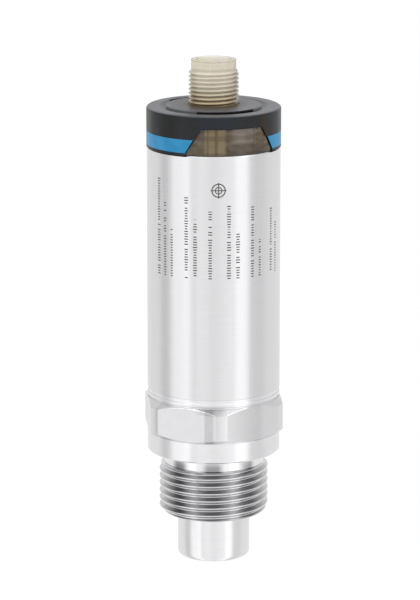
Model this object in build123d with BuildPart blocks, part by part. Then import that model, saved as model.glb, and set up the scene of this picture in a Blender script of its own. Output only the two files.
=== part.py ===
from build123d import *
import os
from math import tan, radians

# Capacitive point level switch with a flush measuring face, for paste and liquid.
# A turned process connection carries the coaxial electrodes, a welded tube holds the
# electronics, and a moulded connector top closes the tube.
# Millimetres. The origin is the centre of the measuring face and +Z runs up the axis.
# Angles round the axis are in degrees from the front, which is -Y, towards +X.

# Process connection, from the measuring face up
sleeve_diameter = 17.4
sleeve_edge_radius = 1.2
sleeve_length = 11.3
thread_diameter = 26.441
thread_length = 12.5
thread_end_chamfer = 1.1
thread_root_diameter = 24.117
thread_pitch = 1.814
thread_crest_width = 0.3
relief_width = 3.0
relief_corner_chamfer = 0.4
collar_height = 5.4
collar_edge_chamfer = 0.3
hex_across_flats = 32.0
hex_corner_diameter = 35.4
hex_height = 8.0
hex_chamfer_angle = 30.0
hex_corner_angle = 6.0
weld_shoulder_height = 2.2
weld_groove_depth = 0.35
weld_groove_width = 0.4
weld_bead_height = 0.8
spigot_height = 3.6

# Bores of the process connection
front_bore_diameter = 12.8
seat_level = 9.0
seat_bore_diameter = 15.3
clamp_bore_diameter = 18.0
clamp_bore_floor = 14.0
cavity_diameter = 23.0
cavity_floor = 29.0

# Coaxial electrodes and their insulators
electrode_diameter = 4.8
electrode_head_thickness = 1.5
stem_diameter = 2.4
stem_length = 19.0
inner_insulator_diameter = 6.8
guard_diameter = 8.6
insulator_flange_thickness = 3.0
guard_flange_diameter = 12.4
guard_flange_thickness = 1.2
inner_flange_diameter = 10.0
inner_flange_thickness = 1.8
seal_groove_level = 3.6
seal_groove_width = 1.7
seal_groove_diameter = 10.4
pressure_ring_bore = 12.8
pressure_ring_height = 2.0
cup_spring_thickness = 0.5
cup_spring_rise = 0.4
clamp_bush_length = 6.0
clamp_bush_bore = 13.2
spanner_slot_width = 2.2
spanner_slot_depth = 2.0
electrode_nut_flats = 5.5
electrode_nut_height = 2.4

# Housing tube
tube_diameter = 32.0
tube_wall = 1.25
tube_length = 59.1
tube_edge_chamfer = 0.25

# Electronics
carrier_diameter = 28.8
carrier_wall = 1.3
carrier_floor_thickness = 2.0
carrier_top_gap = 0.5
carrier_opening = -4.0
rail_width = 3.0
rail_depth = 4.6
board_width = 23.4
board_thickness = 1.6
board_lift = 0.5
board_top_gap = 5.8
board_groove_depth = 0.9
wire_diameter = 0.8
wire_solder_length = 5.0
guard_wire_offset = 5.6
wire_hole_diameter = 2.0
chip_width = 7.0
chip_thickness = 1.2
chip_level = 23.5
transistor_width = 6.2
transistor_height = 5.4
transistor_thickness = 2.3
transistor_spacing = 10.0
transistor_level = 11.5
inductor_diameter = 7.6
inductor_thickness = 4.0
inductor_level = 35.0
capacitor_diameter = 6.3
capacitor_length = 7.2
capacitor_spacing = 9.0
capacitor_level = 31.5
ground_strip_width = 3.2
ground_strip_thickness = 0.3
ground_strip_level = 5.5
ground_strip_height = 9.0
ground_foot_length = 3.0
ground_bend_radius = 0.8
ground_window_margin = 1.2
link_pin_count = 6
link_pin_pitch = 2.54
link_pin_width = 0.64
link_body_height = 2.8
link_body_depth = 2.5

# Connector top
skirt_length = 7.5
skirt_wall = 1.95
skirt_seal_level = 2.6
skirt_seal_width = 2.0
skirt_seal_depth = 1.35
drum_diameter = 29.8
drum_height = 8.1
drum_wall = 1.5
ring_groove_width = 1.7
ring_groove_depth = 4.0
boss_wall = 1.0
groove_floor_thickness = 1.2
deck_thickness = 3.0
stud_thread_diameter = 12.0
stud_thread_root_diameter = 10.77
stud_thread_pitch = 1.0
stud_thread_crest_width = 0.2
stud_foot_diameter = 12.5
stud_foot_set_back = 0.1
stud_sleeve_diameter = 10.7
stud_height = 12.6
stud_sleeve_height = 2.3
stud_lead_height = 0.7
socket_diameter = 9.3
socket_depth = 8.5
key_width = 1.3
key_height = 0.75
key_set_back = 0.8
carrier_flange_diameter = 12.8
carrier_flange_thickness = 1.6
pin_diameter = 1.0
pin_tail_diameter = 0.8
pin_circle_diameter = 5.0
pin_count = 4
pin_set_back = 1.0

# Indicator board
led_board_thickness = 1.6
led_wall_gap = 0.775
led_spread_angle = 16.0
led_length = 2.0
led_width = 1.25
led_height = 0.9

# Cap with its ring, disc, windows, slots and stripe
top_angle = 17.3
ring_diameter = 32.2
ring_height = 9.6
ring_edge_radius = 0.6
window_height = 6.5
window_top_width = 14.9
window_bottom_width = 22.0
pad_set_back = 0.4
slot_span = 76.0
slot_diameter = 26.2
bevel_foot_diameter = 23.8
bevel_drop = 0.55
hook_length = 2.8
hook_wall = 0.9
hook_end_gap = 6.0
stripe_height = 3.25
stripe_lift = 0.65
stripe_depth = 0.4
stripe_window_gap = 0.35
disc_diameter = 22.8
disc_proud = 0.3
disc_edge_chamfer = 0.2

# Clearances
fit_gap = 0.02
part_gap = 0.15

# Levels and radii worked out from the sizes above
thread_top = sleeve_length + thread_length
collar_bottom = thread_top + relief_width
hex_bottom = collar_bottom + collar_height
hex_top = hex_bottom + hex_height
tube_bottom = hex_top + weld_shoulder_height
tube_top = tube_bottom + tube_length
spigot_top = tube_bottom + spigot_height
hex_radius = hex_across_flats / 2
hex_corner_radius = hex_corner_diameter / 2
hex_chamfer_drop = (hex_corner_radius - hex_radius) * tan(radians(hex_chamfer_angle))
tube_radius = tube_diameter / 2
tube_bore_radius = tube_radius - tube_wall
collar_radius = hex_radius
ring_top = tube_top + ring_height
ring_radius = ring_diameter / 2
disc_top = ring_top + disc_proud
drum_radius = drum_diameter / 2
drum_top = tube_top + drum_height
boss_radius = drum_radius - drum_wall - ring_groove_width
groove_bottom = drum_top - ring_groove_depth
led_board_top = groove_bottom - groove_floor_thickness
led_board_bottom = led_board_top - led_board_thickness
deck_bottom = drum_top - deck_thickness
stud_top = drum_top + stud_height
socket_floor = stud_top - socket_depth
skirt_bottom = tube_top - skirt_length
skirt_radius = tube_bore_radius - fit_gap
skirt_bore_radius = skirt_radius - skirt_wall
insulator_back = seat_level + insulator_flange_thickness
guard_back = insulator_back + guard_flange_thickness
inner_back = guard_back + inner_flange_thickness
pressure_ring_top = insulator_back + pressure_ring_height
clamp_bush_bottom = pressure_ring_top + cup_spring_rise + cup_spring_thickness
board_front = wire_diameter / 2 + fit_gap
board_back = board_front + board_thickness
carrier_floor = spigot_top + carrier_floor_thickness
board_bottom = carrier_floor + board_lift
board_top = led_board_bottom - board_top_gap
board_length = board_top - board_bottom
carrier_length = skirt_bottom - carrier_top_gap - spigot_top
strip_foot_top = board_bottom + ground_strip_level
led_circle_radius = boss_radius - boss_wall - led_wall_gap - led_width / 2
wire_top = board_bottom + wire_solder_length


def facing(angle):
    """Upright plane through the axis that faces outwards at an angle from the front."""
    return Plane.XZ.rotated((0, 0, angle))


def outline(*points):
    """Closed face from corner points, inside the sketch that is open."""
    with BuildLine() as border:
        Polyline(*points, close=True)
    make_face(border.edges())


def window_outline(margin):
    """Window shape, wide at the foot, grown on every side by a margin."""
    foot = tube_top - margin
    outline(
        (-window_bottom_width / 2 - margin, foot),
        (window_bottom_width / 2 + margin, foot),
        (window_top_width / 2 + margin, tube_top + window_height + margin),
        (-window_top_width / 2 - margin, tube_top + window_height + margin),
    )


def stripe_outline(margin):
    """Section of the stripe in the ring's wall, smaller on the buried sides by a margin."""
    outline(
        (ring_radius - stripe_depth + margin, tube_top + stripe_lift + margin),
        (ring_radius, tube_top + stripe_lift + margin),
        (ring_radius, tube_top + stripe_lift + stripe_height - margin),
        (ring_radius - stripe_depth + margin, tube_top + stripe_lift + stripe_height - margin),
    )


def thread_groove_outlines(crest_radius, root_radius, foot, head, pitch, crest_width):
    """Sections of the grooves between a thread's crests, as many as fit between two levels."""
    count = int((head - foot - crest_width) / pitch)
    half_width = (pitch - crest_width) / 2
    first = (foot + head - (count - 1) * pitch) / 2
    for number in range(count):
        middle = first + number * pitch
        outline(
            (root_radius, middle),
            (crest_radius, middle - half_width),
            (crest_radius + fit_gap, middle - half_width),
            (crest_radius + fit_gap, middle + half_width),
            (crest_radius, middle + half_width),
        )


def save(piece, name):
    """Labels a finished piece and writes its file."""
    piece.part.label = name
    export_step(piece.part, f"parts/{name}.step")


os.makedirs("parts", exist_ok=True)

# Process connection: hexagon, collar, thread and measuring sleeve turned from one bar.
# The thread is a row of rings at its pitch, with flat crests at its outside diameter.
with BuildPart() as process_connection:
    with BuildSketch(Plane.XY.offset(hex_bottom)):
        RegularPolygon(hex_radius, 6, major_radius=False, rotation=hex_corner_angle - 90)
    extrude(amount=hex_height)
    with BuildSketch(Plane.XZ):
        outline(
            (0, hex_bottom),
            (hex_radius, hex_bottom),
            (hex_corner_radius, hex_bottom + hex_chamfer_drop),
            (hex_corner_radius, hex_top - hex_chamfer_drop),
            (hex_radius, hex_top),
            (0, hex_top),
        )
    revolve(axis=Axis.Z, mode=Mode.INTERSECT)
    with BuildSketch(Plane.XZ):
        outline(
            (0, 0),
            (sleeve_diameter / 2, 0),
            (sleeve_diameter / 2, sleeve_length),
            (thread_diameter / 2 - thread_end_chamfer, sleeve_length),
            (thread_diameter / 2, sleeve_length + thread_end_chamfer),
            (thread_diameter / 2, thread_top),
            (thread_root_diameter / 2, thread_top),
            (thread_root_diameter / 2, collar_bottom),
            (collar_radius - collar_edge_chamfer, collar_bottom),
            (collar_radius, collar_bottom + collar_edge_chamfer),
            (collar_radius, hex_bottom),
            (0, hex_bottom),
        )
    revolve(axis=Axis.Z)
    with BuildSketch(Plane.XZ):
        outline(
            (0, hex_top),
            (collar_radius - weld_groove_depth, hex_top),
            (collar_radius - weld_groove_depth, hex_top + weld_groove_width),
            (collar_radius, hex_top + weld_groove_width),
            (collar_radius, tube_bottom - weld_bead_height),
            (tube_radius - weld_groove_depth / 2, tube_bottom - weld_bead_height),
            (tube_radius - weld_groove_depth / 2, tube_bottom),
            (tube_bore_radius - fit_gap, tube_bottom),
            (tube_bore_radius - fit_gap, spigot_top),
            (0, spigot_top),
        )
    revolve(axis=Axis.Z)
    front_edge = process_connection.edges().filter_by(GeomType.CIRCLE).group_by(Axis.Z)[0]
    fillet(front_edge.sort_by(SortBy.RADIUS)[-1], sleeve_edge_radius)
    relief_edges = process_connection.edges().filter_by(
        lambda edge: edge.geom_type == GeomType.CIRCLE
        and abs(edge.radius - thread_root_diameter / 2) < fit_gap
    )
    chamfer(relief_edges, relief_corner_chamfer)
    with BuildSketch(Plane.XZ):
        thread_groove_outlines(
            thread_diameter / 2,
            thread_root_diameter / 2,
            sleeve_length + thread_end_chamfer,
            thread_top,
            thread_pitch,
            thread_crest_width,
        )
    revolve(axis=Axis.Z, mode=Mode.SUBTRACT)
    with BuildSketch(Plane.XZ):
        outline(
            (0, 0),
            (front_bore_diameter / 2, 0),
            (front_bore_diameter / 2, seat_level),
            (seat_bore_diameter / 2, seat_level),
            (seat_bore_diameter / 2, clamp_bore_floor),
            (clamp_bore_diameter / 2, clamp_bore_floor),
            (clamp_bore_diameter / 2, cavity_floor),
            (cavity_diameter / 2, cavity_floor),
            (cavity_diameter / 2, spigot_top),
            (0, spigot_top),
        )
    revolve(axis=Axis.Z, mode=Mode.SUBTRACT)
save(process_connection, "process_connection")

# Outer insulator: flanged bush between the steel sleeve and the guard electrode
with BuildPart() as outer_insulator:
    with BuildSketch(Plane.XZ):
        outline(
            (guard_diameter / 2 + fit_gap, 0),
            (front_bore_diameter / 2 - fit_gap, 0),
            (front_bore_diameter / 2 - fit_gap, seat_level),
            (seat_bore_diameter / 2 - fit_gap, seat_level),
            (seat_bore_diameter / 2 - fit_gap, insulator_back),
            (guard_diameter / 2 + fit_gap, insulator_back),
        )
    revolve(axis=Axis.Z)
    with BuildSketch(Plane.XZ):
        outline(
            (seal_groove_diameter / 2, seal_groove_level),
            (front_bore_diameter / 2, seal_groove_level),
            (front_bore_diameter / 2, seal_groove_level + seal_groove_width),
            (seal_groove_diameter / 2, seal_groove_level + seal_groove_width),
        )
    revolve(axis=Axis.Z, mode=Mode.SUBTRACT)
save(outer_insulator, "outer_insulator")

# Insulator seal: ring in the groove of the outer insulator
insulator_seal_radius = (front_bore_diameter - seal_groove_diameter) / 4 - fit_gap
with BuildPart() as insulator_seal:
    with BuildSketch(Plane.XZ):
        with Locations(
            (
                (front_bore_diameter + seal_groove_diameter) / 4,
                seal_groove_level + seal_groove_width / 2,
            )
        ):
            Circle(insulator_seal_radius)
    revolve(axis=Axis.Z)
save(insulator_seal, "insulator_seal")

# Guard ring: tube electrode round the probe, with a flange behind the outer insulator
with BuildPart() as guard_ring:
    with BuildSketch(Plane.XZ):
        outline(
            (inner_insulator_diameter / 2 + fit_gap, 0),
            (guard_diameter / 2, 0),
            (guard_diameter / 2, insulator_back),
            (guard_flange_diameter / 2, insulator_back),
            (guard_flange_diameter / 2, guard_back),
            (inner_insulator_diameter / 2 + fit_gap, guard_back),
        )
    revolve(axis=Axis.Z)
save(guard_ring, "guard_ring")

# Inner insulator: bush that carries the probe electrode in the guard ring
with BuildPart() as inner_insulator:
    with BuildSketch(Plane.XZ):
        outline(
            (electrode_diameter / 2 + fit_gap, 0),
            (inner_insulator_diameter / 2, 0),
            (inner_insulator_diameter / 2, guard_back),
            (inner_flange_diameter / 2, guard_back),
            (inner_flange_diameter / 2, inner_back),
            (stem_diameter / 2 + fit_gap, inner_back),
            (stem_diameter / 2 + fit_gap, electrode_head_thickness),
            (electrode_diameter / 2 + fit_gap, electrode_head_thickness),
        )
    revolve(axis=Axis.Z)
save(inner_insulator, "inner_insulator")

# Probe electrode: flat head in the measuring face and a stem up through the insulator
with BuildPart() as probe_electrode:
    with BuildSketch(Plane.XZ):
        outline(
            (0, 0),
            (electrode_diameter / 2, 0),
            (electrode_diameter / 2, electrode_head_thickness),
            (stem_diameter / 2, electrode_head_thickness),
            (stem_diameter / 2, stem_length),
            (0, stem_length),
        )
    revolve(axis=Axis.Z)
save(probe_electrode, "probe_electrode")

# Electrode nut: pulls the probe electrode tight on the inner insulator
with BuildPart() as electrode_nut:
    with BuildSketch(Plane.XY.offset(inner_back)):
        RegularPolygon(electrode_nut_flats / 2, 6, major_radius=False)
        Circle(stem_diameter / 2 + fit_gap, mode=Mode.SUBTRACT)
    extrude(amount=electrode_nut_height)
save(electrode_nut, "electrode_nut")

# Pressure ring: insulating washer that loads the outer insulator's flange
with BuildPart() as pressure_ring:
    with BuildSketch(Plane.XY.offset(insulator_back)):
        Circle(seat_bore_diameter / 2 - part_gap)
        Circle(pressure_ring_bore / 2, mode=Mode.SUBTRACT)
    extrude(amount=pressure_ring_height)
save(pressure_ring, "pressure_ring")

# Cup spring: conical washer that keeps the load as the insulators settle
with BuildPart() as cup_spring:
    with BuildSketch(Plane.XZ):
        outline(
            (pressure_ring_bore / 2 + part_gap, pressure_ring_top),
            (clamp_bore_diameter / 2 - part_gap, pressure_ring_top + cup_spring_rise),
            (clamp_bore_diameter / 2 - part_gap, clamp_bush_bottom),
            (pressure_ring_bore / 2 + part_gap, pressure_ring_top + cup_spring_thickness),
        )
    revolve(axis=Axis.Z)
save(cup_spring, "cup_spring")

# Clamp bush: screwed into the bore with a pin spanner, it holds the electrode stack
with BuildPart() as clamp_bush:
    with BuildSketch(Plane.XY.offset(clamp_bush_bottom)):
        Circle(clamp_bore_diameter / 2 - fit_gap)
        Circle(clamp_bush_bore / 2, mode=Mode.SUBTRACT)
    extrude(amount=clamp_bush_length)
    with BuildSketch(Plane.XY.offset(clamp_bush_bottom + clamp_bush_length)):
        with PolarLocations(0, 2, angular_range=180):
            Rectangle(clamp_bore_diameter, spanner_slot_width)
    extrude(amount=-spanner_slot_depth, mode=Mode.SUBTRACT)
save(clamp_bush, "clamp_bush")

# Sensor wires: stiff wires from the probe stem and the guard flange up to the board
with BuildPart() as sensor_wires:
    with BuildSketch(Plane.XY.offset(stem_length)):
        Circle(wire_diameter / 2)
    extrude(amount=wire_top - stem_length)
    with BuildSketch(Plane.XY.offset(guard_back)):
        with Locations((guard_wire_offset, 0)):
            Circle(wire_diameter / 2)
    extrude(amount=wire_top - guard_back)
save(sensor_wires, "sensor_wires")

# Housing tube: seamless tube, welded to the process connection at its foot
with BuildPart() as housing_tube:
    with BuildSketch(Plane.XY.offset(tube_bottom)):
        Circle(tube_radius)
        Circle(tube_bore_radius, mode=Mode.SUBTRACT)
    extrude(amount=tube_length)
    outer_rims = housing_tube.edges().filter_by(
        lambda edge: edge.geom_type == GeomType.CIRCLE
        and abs(edge.radius - tube_radius) < fit_gap
    )
    chamfer(outer_rims, tube_edge_chamfer)
save(housing_tube, "housing_tube")

# Board carrier: open plastic cradle that stands on the spigot and guides the board
rail_middle = board_width / 2 + rail_width / 2 - board_groove_depth
with BuildPart() as board_carrier:
    with BuildSketch(Plane.XY.offset(spigot_top)):
        Circle(carrier_diameter / 2)
        Circle(carrier_diameter / 2 - carrier_wall, mode=Mode.SUBTRACT)
        with Locations((rail_middle, board_front + board_thickness / 2)):
            Rectangle(rail_width, rail_depth)
        with Locations((-rail_middle, board_front + board_thickness / 2)):
            Rectangle(rail_width, rail_depth)
        with Locations((0, carrier_opening)):
            Rectangle(
                carrier_diameter,
                carrier_diameter,
                align=(Align.CENTER, Align.MAX),
                mode=Mode.SUBTRACT,
            )
        with BuildSketch(mode=Mode.INTERSECT):
            Circle(carrier_diameter / 2)
    extrude(amount=carrier_length)
    with BuildSketch(Plane.XY.offset(spigot_top)):
        Circle(carrier_diameter / 2)
    extrude(amount=carrier_floor_thickness)
    with BuildSketch(Plane.XY.offset(carrier_floor)):
        with Locations((0, board_front + board_thickness / 2)):
            Rectangle(board_width + 2 * part_gap, board_thickness + 2 * part_gap)
    extrude(amount=carrier_length, mode=Mode.SUBTRACT)
    with BuildSketch(Plane.XY.offset(spigot_top)):
        with Locations((0, 0), (guard_wire_offset, 0)):
            Circle(wire_hole_diameter / 2)
    extrude(amount=carrier_floor_thickness, mode=Mode.SUBTRACT)
    with BuildSketch(Plane.XZ):
        with Locations((0, strip_foot_top - ground_window_margin)):
            Rectangle(
                ground_strip_width + 2 * ground_window_margin,
                ground_strip_height + ground_foot_length + 2 * ground_window_margin,
                align=(Align.CENTER, Align.MIN),
            )
    extrude(amount=-carrier_diameter, mode=Mode.SUBTRACT)
save(board_carrier, "board_carrier")

# Main board: upright circuit board, slid into the carrier's grooves
with BuildPart() as main_board:
    with BuildSketch(Plane.XY.offset(board_bottom)):
        with Locations((0, board_front + board_thickness / 2)):
            Rectangle(board_width, board_thickness)
    extrude(amount=board_length)
save(main_board, "main_board")

# Controller chip, on the front of the board
board_face = Plane.XZ.offset(-board_front)
with BuildPart() as controller_chip:
    with BuildSketch(board_face):
        with Locations((0, board_bottom + chip_level)):
            Rectangle(chip_width, chip_width)
    extrude(amount=chip_thickness)
    chamfer(controller_chip.faces().sort_by(Axis.Y)[0].edges(), chip_thickness / 4)
save(controller_chip, "controller_chip")

# Output transistors, side by side under the controller
with BuildPart() as output_transistors:
    with BuildSketch(board_face):
        with Locations((0, board_bottom + transistor_level)):
            with GridLocations(transistor_spacing, 0, 2, 1):
                Rectangle(transistor_width, transistor_height)
    extrude(amount=transistor_thickness)
save(output_transistors, "output_transistors")

# Power inductor: round shielded coil near the top of the board
with BuildPart() as power_inductor:
    with BuildSketch(board_face):
        with Locations((0, board_bottom + inductor_level)):
            Circle(inductor_diameter / 2)
    extrude(amount=inductor_thickness)
    fillet(power_inductor.edges().sort_by(Axis.Y)[0], inductor_thickness / 8)
save(power_inductor, "power_inductor")

# Storage capacitors: two cans that stand on the back of the board
with BuildPart() as storage_capacitors:
    with BuildSketch(Plane.XZ.offset(-board_back)):
        with Locations((0, board_bottom + capacitor_level)):
            with GridLocations(capacitor_spacing, 0, 2, 1):
                Circle(capacitor_diameter / 2)
    extrude(amount=-capacitor_length)
save(storage_capacitors, "storage_capacitors")

# Ground spring: bent strip, soldered to the back of the board, that meets the tube's wall
strip_middle = ground_strip_thickness / 2
with BuildPart() as ground_spring:
    with BuildSketch(Plane.YZ):
        with BuildLine() as strip_line:
            FilletPolyline(
                (board_back + strip_middle, strip_foot_top - ground_foot_length),
                (board_back + strip_middle, strip_foot_top),
                (
                    tube_bore_radius - strip_middle - part_gap,
                    strip_foot_top + ground_strip_height,
                ),
                (
                    tube_bore_radius - strip_middle - part_gap,
                    strip_foot_top + ground_strip_height + ground_foot_length,
                ),
                radius=ground_bend_radius,
            )
        trace(strip_line.line, ground_strip_thickness)
    extrude(amount=ground_strip_width / 2, both=True)
save(ground_spring, "ground_spring")

# Link header: plastic strip on the board that guides the pins to the indicator board
link_body_bottom = board_top - link_body_height
link_pin_line = board_front - link_body_depth / 2
with BuildPart() as link_header:
    with BuildSketch(Plane.XY.offset(link_body_bottom)):
        with Locations((0, link_pin_line)):
            Rectangle(link_pin_count * link_pin_pitch, link_body_depth)
            with GridLocations(link_pin_pitch, 0, link_pin_count, 1):
                Rectangle(
                    link_pin_width + 2 * fit_gap,
                    link_pin_width + 2 * fit_gap,
                    mode=Mode.SUBTRACT,
                )
    extrude(amount=link_body_height)
save(link_header, "link_header")

# Link pins: square posts that reach the underside of the indicator board
with BuildPart() as link_pins:
    with BuildSketch(Plane.XY.offset(link_body_bottom)):
        with Locations((0, link_pin_line)):
            with GridLocations(link_pin_pitch, 0, link_pin_count, 1):
                Rectangle(link_pin_width, link_pin_width)
    extrude(amount=led_board_bottom - link_body_bottom)
save(link_pins, "link_pins")

# Connector body: one clear amber moulding of skirt, drum, window pads, deck and plug.
# The plug's thread is a row of rings at its pitch, as on the process connection.
stud_lead_level = stud_top - stud_sleeve_height
stud_foot_level = disc_top - stud_foot_set_back
with BuildPart() as connector_body:
    with BuildSketch(facing(top_angle)):
        window_outline(-part_gap)
    extrude(amount=ring_radius, both=True)
    with BuildSketch(Plane.XZ):
        outline(
            (drum_radius - drum_wall / 2, tube_top),
            (ring_radius - pad_set_back, tube_top),
            (ring_radius - pad_set_back, ring_top),
            (drum_radius - drum_wall / 2, ring_top),
        )
    revolve(axis=Axis.Z, mode=Mode.INTERSECT)
    with BuildSketch(Plane.XZ):
        outline(
            (0, stud_top),
            (stud_sleeve_diameter / 2, stud_top),
            (stud_sleeve_diameter / 2, stud_lead_level),
            (stud_thread_diameter / 2, stud_lead_level - stud_lead_height),
            (stud_thread_diameter / 2, stud_foot_level),
            (stud_foot_diameter / 2, stud_foot_level),
            (stud_foot_diameter / 2, drum_top),
            (boss_radius, drum_top),
            (boss_radius, groove_bottom),
            (drum_radius - drum_wall, groove_bottom),
            (drum_radius - drum_wall, drum_top),
            (drum_radius, drum_top),
            (drum_radius, tube_top),
            (skirt_radius, tube_top),
            (skirt_radius, skirt_bottom),
            (skirt_bore_radius, skirt_bottom),
            (skirt_bore_radius, led_board_top),
            (boss_radius - boss_wall, led_board_top),
            (boss_radius - boss_wall, deck_bottom),
            (0, deck_bottom),
        )
    revolve(axis=Axis.Z)
    with BuildSketch(Plane.XZ):
        thread_groove_outlines(
            stud_thread_diameter / 2,
            stud_thread_root_diameter / 2,
            stud_foot_level,
            stud_lead_level - stud_lead_height,
            stud_thread_pitch,
            stud_thread_crest_width,
        )
    revolve(axis=Axis.Z, mode=Mode.SUBTRACT)
    with BuildSketch(Plane.XY.offset(deck_bottom)):
        Circle(socket_diameter / 2)
    extrude(amount=stud_top - deck_bottom, mode=Mode.SUBTRACT)
    with BuildSketch(Plane.XZ):
        outline(
            (skirt_radius - skirt_seal_depth, skirt_bottom + skirt_seal_level),
            (tube_radius, skirt_bottom + skirt_seal_level),
            (tube_radius, skirt_bottom + skirt_seal_level + skirt_seal_width),
            (
                skirt_radius - skirt_seal_depth,
                skirt_bottom + skirt_seal_level + skirt_seal_width,
            ),
        )
    revolve(axis=Axis.Z, mode=Mode.SUBTRACT)
    with BuildSketch(facing(top_angle)):
        with Locations((0, socket_floor)):
            Rectangle(
                key_width,
                socket_depth - key_set_back,
                align=(Align.CENTER, Align.MIN),
            )
    extrude(amount=stud_sleeve_diameter / 2 - part_gap)
    with BuildSketch(Plane.XY.offset(socket_floor)):
        Circle(socket_diameter / 2 - key_height)
    extrude(amount=socket_depth, mode=Mode.SUBTRACT)
save(connector_body, "connector_body")

# Housing seal: ring in the skirt's groove, against the tube's bore
with BuildPart() as housing_seal:
    with BuildSketch(Plane.XZ):
        with Locations(
            (
                skirt_radius - skirt_seal_depth / 2,
                skirt_bottom + skirt_seal_level + skirt_seal_width / 2,
            )
        ):
            Circle(skirt_seal_depth / 2 - fit_gap)
    revolve(axis=Axis.Z)
save(housing_seal, "housing_seal")

# Contact carrier: insert that holds the plug's pins, pushed in from under the deck
with BuildPart() as contact_carrier:
    with BuildSketch(Plane.XZ):
        outline(
            (0, deck_bottom - carrier_flange_thickness),
            (carrier_flange_diameter / 2, deck_bottom - carrier_flange_thickness),
            (carrier_flange_diameter / 2, deck_bottom),
            (socket_diameter / 2 - fit_gap, deck_bottom),
            (socket_diameter / 2 - fit_gap, socket_floor),
            (0, socket_floor),
        )
    revolve(axis=Axis.Z)
    with BuildSketch(Plane.XY.offset(socket_floor)):
        with PolarLocations(pin_circle_diameter / 2, pin_count, top_angle - 45):
            Circle(pin_diameter / 2 + fit_gap)
    extrude(amount=-socket_depth - deck_thickness, mode=Mode.SUBTRACT)
save(contact_carrier, "contact_carrier")

# Contact pins: plated pins with thin tails down to the indicator board
with BuildPart() as contact_pins:
    with BuildSketch(Plane.XY.offset(deck_bottom)):
        with PolarLocations(pin_circle_diameter / 2, pin_count, top_angle - 45):
            Circle(pin_diameter / 2)
    extrude(amount=stud_top - pin_set_back - deck_bottom)
    fillet(contact_pins.edges().group_by(Axis.Z)[-1], pin_diameter / 2 - fit_gap)
    with BuildSketch(Plane.XY.offset(led_board_top)):
        with PolarLocations(pin_circle_diameter / 2, pin_count, top_angle - 45):
            Circle(pin_tail_diameter / 2)
    extrude(amount=deck_bottom - led_board_top)
save(contact_pins, "contact_pins")

# Indicator board: round board against the floor of the drum's groove
with BuildPart() as led_board:
    with BuildSketch(Plane.XY.offset(led_board_bottom)):
        Circle(skirt_bore_radius - part_gap)
    extrude(amount=led_board_thickness)
save(led_board, "led_board")


def save_leds(name, side_angle):
    """One pair of indicator lamps, behind the front window and behind the back one."""
    with BuildPart() as leds:
        with BuildSketch(Plane.XY.offset(led_board_top)):
            with PolarLocations(led_circle_radius, 2, top_angle - 90 + side_angle):
                Rectangle(led_width, led_length)
        extrude(amount=led_height)
    save(leds, name)


save_leds("green_leds", -led_spread_angle)
save_leds("yellow_leds", 0)
save_leds("red_leds", led_spread_angle)

# Cap: dark moulding over the drum, notched for the windows, with a disc round the plug.
# Two arc slots part the disc from the ring, and hooks under the two bridges between them
# reach down into the drum's groove.
disc_radius = disc_diameter / 2
slot_radius = slot_diameter / 2
plug_bore_radius = stud_foot_diameter / 2 + fit_gap
hook_radius = boss_radius + ring_groove_width / 2
hook_span = 180 - slot_span - 2 * hook_end_gap
with BuildPart() as cap:
    with BuildSketch(Plane.XZ):
        outline(
            (drum_radius + fit_gap, tube_top),
            (ring_radius, tube_top),
            (ring_radius, ring_top),
            (slot_radius, ring_top),
            (bevel_foot_diameter / 2, ring_top - bevel_drop),
            (disc_radius, ring_top - bevel_drop),
            (disc_radius, disc_top - disc_edge_chamfer),
            (disc_radius - disc_edge_chamfer, disc_top),
            (plug_bore_radius, disc_top),
            (plug_bore_radius, drum_top),
            (drum_radius + fit_gap, drum_top),
        )
    revolve(axis=Axis.Z)
    rim = cap.edges().filter_by(
        lambda edge: edge.geom_type == GeomType.CIRCLE
        and abs(edge.radius - ring_radius) < fit_gap
    )
    fillet(rim.sort_by(Axis.Z)[-1], ring_edge_radius)
    with BuildSketch(facing(top_angle)):
        window_outline(0)
    extrude(amount=ring_diameter, both=True, mode=Mode.SUBTRACT)
    with BuildSketch(Plane.XY.offset(drum_top)):
        for middle in (top_angle - 90, top_angle + 90):
            with BuildLine() as slot_line:
                CenterArc(
                    (0, 0), (slot_radius + disc_radius) / 2, middle - slot_span / 2, slot_span
                )
            trace(slot_line.line, slot_radius - disc_radius)
    extrude(amount=ring_height, mode=Mode.SUBTRACT)
    with BuildSketch(Plane.XY.offset(drum_top)):
        for middle in (top_angle, top_angle + 180):
            with BuildLine() as hook_line:
                CenterArc((0, 0), hook_radius, middle - hook_span / 2, hook_span)
            trace(hook_line.line, hook_wall)
    extrude(amount=-hook_length)
    with BuildSketch(Plane.XZ):
        stripe_outline(0)
    revolve(axis=Axis.Z, mode=Mode.SUBTRACT)
save(cap, "cap")

# Stripe: blue bands let flush into the ring's wall, cut off slanted beside the windows
with BuildPart() as stripe:
    with BuildSketch(Plane.XZ):
        stripe_outline(fit_gap)
    revolve(axis=Axis.Z)
    with BuildSketch(facing(top_angle)):
        window_outline(stripe_window_gap)
    extrude(amount=ring_diameter, both=True, mode=Mode.SUBTRACT)
save(stripe, "stripe")
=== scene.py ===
from math import acos, asin, cos, degrees, radians, sin, tan

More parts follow.
